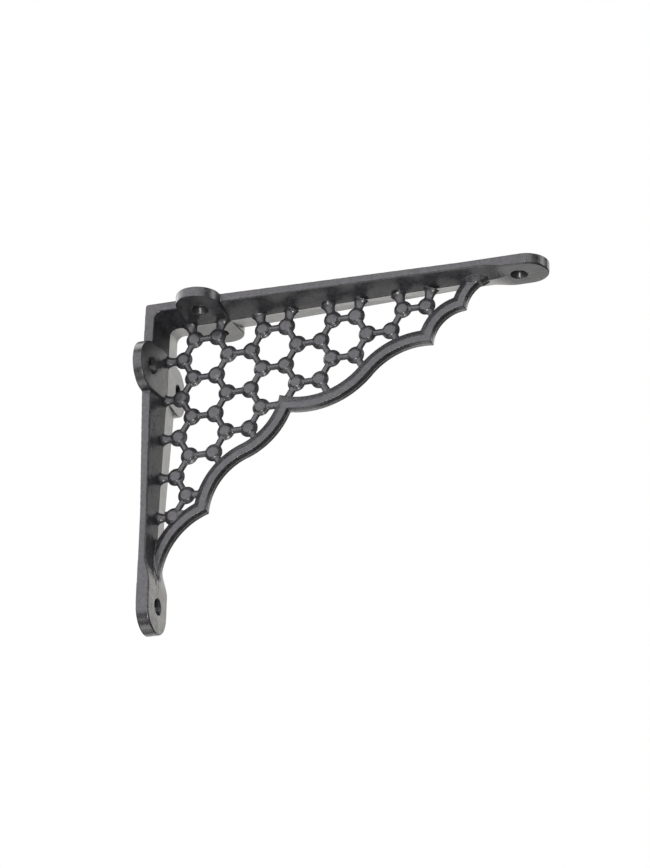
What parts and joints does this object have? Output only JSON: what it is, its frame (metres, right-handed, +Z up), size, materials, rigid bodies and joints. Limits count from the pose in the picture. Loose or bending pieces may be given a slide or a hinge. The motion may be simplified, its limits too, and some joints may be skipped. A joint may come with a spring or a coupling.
{
  "type": "shelf bracket",
  "caption": "Cast shelf bracket: tapered arms at a right angle, screw ears by the corner, countersunk end holes and an openwork honeycomb web inside a cusped rib.",
  "frame": {"origin": "on the flat wall face, on the bracket's centre line, 85 mm below the shelf face", "axes": "+X away from the wall along the shelf arm, +Z up towards the shelf, +Y across the bracket"},
  "size_m": [0.2017, 0.0566, 0.1683],
  "materials": {
    "satin_black_paint": "satin black paint over a cast skin"
  },
  "bodies": {
    "root": {"bracket": "satin_black_paint"}
  },
  "joints": []
}
